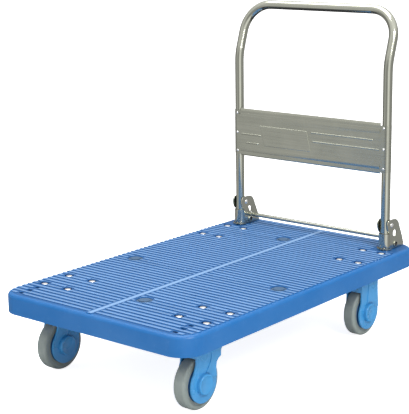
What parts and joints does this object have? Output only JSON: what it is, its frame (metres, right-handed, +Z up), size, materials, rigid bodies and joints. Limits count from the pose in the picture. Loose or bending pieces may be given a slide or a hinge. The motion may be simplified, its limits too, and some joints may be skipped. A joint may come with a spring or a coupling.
{
  "type": "folding platform cart",
  "caption": "Moulded resin platform on swivel and rigid casters, with a panelled tube handle that folds down over the deck.",
  "frame": {"origin": "on the floor under the middle of the deck (centre of the bounding box's base)", "axes": "+Z up; +Y along the deck toward the handle end; +X across the deck, to the right of someone who faces the handle end"},
  "size_m": [0.61, 1, 0.8779],
  "materials": {
    "deck_resin": "satin moulded resin",
    "fork_resin": "semi-gloss moulded resin",
    "insert_resin": "matt",
    "core_resin": "matt",
    "tyre": "grey non-marking rubber",
    "stainless": "satin stainless",
    "zinc": "bright zinc plate",
    "dark_steel": "dark oiled steel"
  },
  "bodies": {
    "deck_frame": {"deck": "deck_resin", "deck_inserts": "insert_resin", "swivel_bolts": "zinc", "rigid_bolts": "zinc", "caster_nuts": "zinc", "caster_washers": "zinc", "swivel_plate_l": "zinc", "swivel_plate_r": "zinc", "kingpins": "zinc", "rigid_fork_l": "fork_resin", "rigid_fork_r": "fork_resin", "rigid_axles": "zinc", "rigid_axle_nuts": "zinc", "rigid_caps": "fork_resin", "bracket_l": "stainless", "bracket_r": "stainless", "bracket_bolts": "zinc", "bracket_nuts": "zinc", "hinge_pins": "zinc", "catch_pins": "dark_steel", "return_spring": "dark_steel"},
    "handle": {"handle_tube": "stainless", "back_panel": "stainless", "panel_rivets": "zinc"},
    "release": {"release_rod": "stainless", "catch_l": "dark_steel", "catch_r": "dark_steel"},
    "swivel_l": {"swivel_fork_l": "fork_resin", "swivel_axle_l": "zinc", "swivel_axle_nut_l": "zinc", "swivel_caps_l": "fork_resin", "ball_ring_l": "dark_steel"},
    "swivel_r": {"swivel_fork_r": "fork_resin", "swivel_axle_r": "zinc", "swivel_axle_nut_r": "zinc", "swivel_caps_r": "fork_resin", "ball_ring_r": "dark_steel"},
    "front_wheel_l": {"front_tyre_l": "tyre", "front_core_l": "core_resin", "front_bearings_l": "zinc"},
    "rear_wheel_l": {"rear_tyre_l": "tyre", "rear_core_l": "core_resin", "rear_bearings_l": "zinc"},
    "front_wheel_r": {"front_tyre_r": "tyre", "front_core_r": "core_resin", "front_bearings_r": "zinc"},
    "rear_wheel_r": {"rear_tyre_r": "tyre", "rear_core_r": "core_resin", "rear_bearings_r": "zinc"}
  },
  "joints": [
    {"name": "handle_fold", "type": "hinge", "parent": "deck_frame", "child": "handle", "pos_m": [0, 0.42, 0.285], "axis": [1, 0, 0], "range_deg": [0, 90]},
    {"name": "release_swing", "type": "hinge", "parent": "deck_frame", "child": "release", "pos_m": [0, 0.44, 0.23], "axis": [-1, 0, 0], "range_deg": [0, 40], "stiffness_Nm_per_rad": 0.6, "springref_deg": -20.05},
    {"name": "swivel_turn_l", "type": "hinge", "parent": "deck_frame", "child": "swivel_l", "pos_m": [-0.225, -0.336, 0.15], "axis": [0, 0, 1], "continuous": true},
    {"name": "swivel_turn_r", "type": "hinge", "parent": "deck_frame", "child": "swivel_r", "pos_m": [0.225, -0.336, 0.15], "axis": [0, 0, 1], "continuous": true},
    {"name": "front_roll_l", "type": "hinge", "parent": "swivel_l", "child": "front_wheel_l", "pos_m": [-0.225, -0.374, 0.065], "axis": [1, 0, 0], "continuous": true},
    {"name": "rear_roll_l", "type": "hinge", "parent": "deck_frame", "child": "rear_wheel_l", "pos_m": [-0.24, 0.312, 0.065], "axis": [1, 0, 0], "continuous": true},
    {"name": "front_roll_r", "type": "hinge", "parent": "swivel_r", "child": "front_wheel_r", "pos_m": [0.225, -0.374, 0.065], "axis": [1, 0, 0], "continuous": true},
    {"name": "rear_roll_r", "type": "hinge", "parent": "deck_frame", "child": "rear_wheel_r", "pos_m": [0.24, 0.312, 0.065], "axis": [1, 0, 0], "continuous": true}
  ]
}
